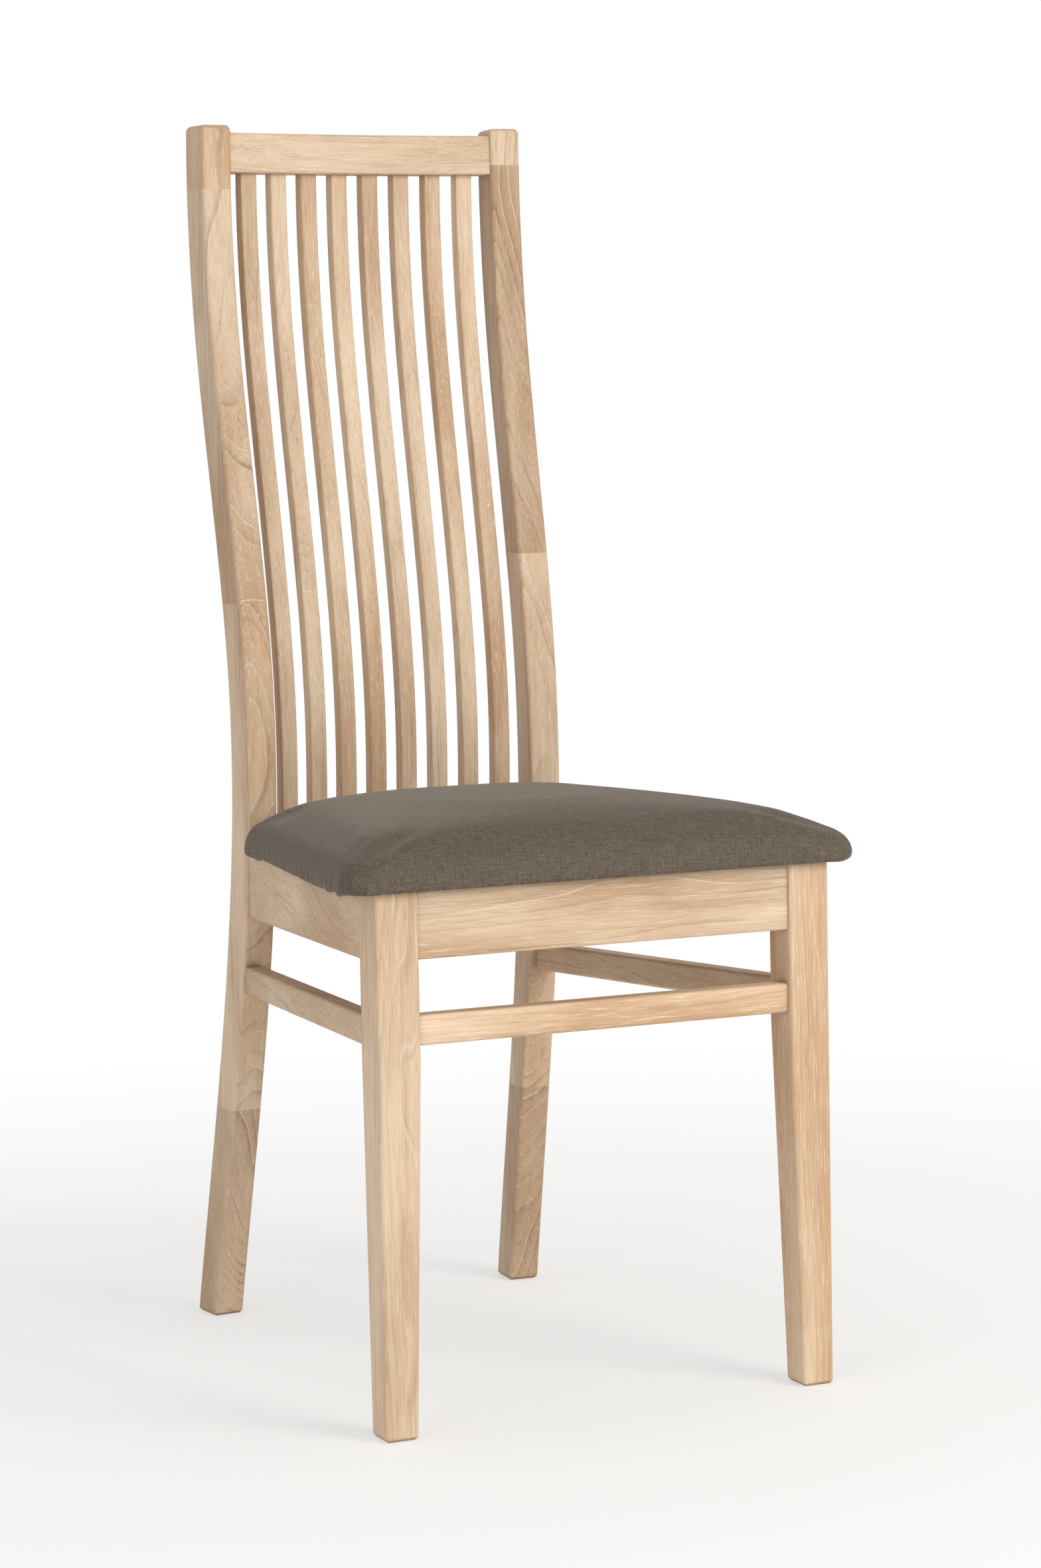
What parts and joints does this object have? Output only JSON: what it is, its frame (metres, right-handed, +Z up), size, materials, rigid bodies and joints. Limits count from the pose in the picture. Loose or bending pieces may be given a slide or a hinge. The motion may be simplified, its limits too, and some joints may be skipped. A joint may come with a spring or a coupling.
{
  "type": "dining chair",
  "caption": "Tall dining chair: pale wooden frame, curved legs at the back, upright slats under a curved top rail, stretchers and a padded fabric seat.",
  "frame": {"origin": "on the floor, under the middle of the chair's outer box", "axes": "+X to the sitter's left, +Y from the front of the seat to the back, +Z up"},
  "size_m": [0.4585, 0.5439, 1.07],
  "materials": {
    "limed_oak": "pale limed oak, matt lacquer",
    "hardwood_block": "sawn hardwood, unfinished",
    "dowel_beech": "plain beech",
    "plywood": "plain birch plywood",
    "foam": "open-cell seat foam",
    "seat_fabric": "fine woven taupe upholstery cloth",
    "dust_cloth": "black non-woven lining",
    "staple_wire": "galvanised wire",
    "zinc_steel": "zinc-plated"
  },
  "bodies": {
    "root": {"rear_leg_right": "limed_oak", "rear_leg_left": "limed_oak", "front_leg_right": "limed_oak", "front_leg_left": "limed_oak", "side_apron_right": "limed_oak", "side_apron_left": "limed_oak", "side_stretcher_right": "limed_oak", "side_stretcher_left": "limed_oak", "front_apron": "limed_oak", "front_stretcher": "limed_oak", "top_rail": "limed_oak", "back_slat_1": "limed_oak", "back_slat_2": "limed_oak", "back_slat_3": "limed_oak", "back_slat_4": "limed_oak", "back_slat_5": "limed_oak", "back_slat_6": "limed_oak", "back_slat_7": "limed_oak", "back_slat_8": "limed_oak", "rear_apron": "limed_oak", "corner_block_front_right": "hardwood_block", "corner_block_front_left": "hardwood_block", "corner_block_rear_right": "hardwood_block", "corner_block_rear_left": "hardwood_block", "apron_dowels": "dowel_beech", "top_rail_dowels": "dowel_beech", "seat_board": "plywood", "foam_pad": "foam", "seat_cover": "seat_fabric", "dust_cover": "dust_cloth", "cover_staples": "staple_wire", "seat_screws": "zinc_steel", "corner_block_screws": "zinc_steel"}
  },
  "joints": []
}
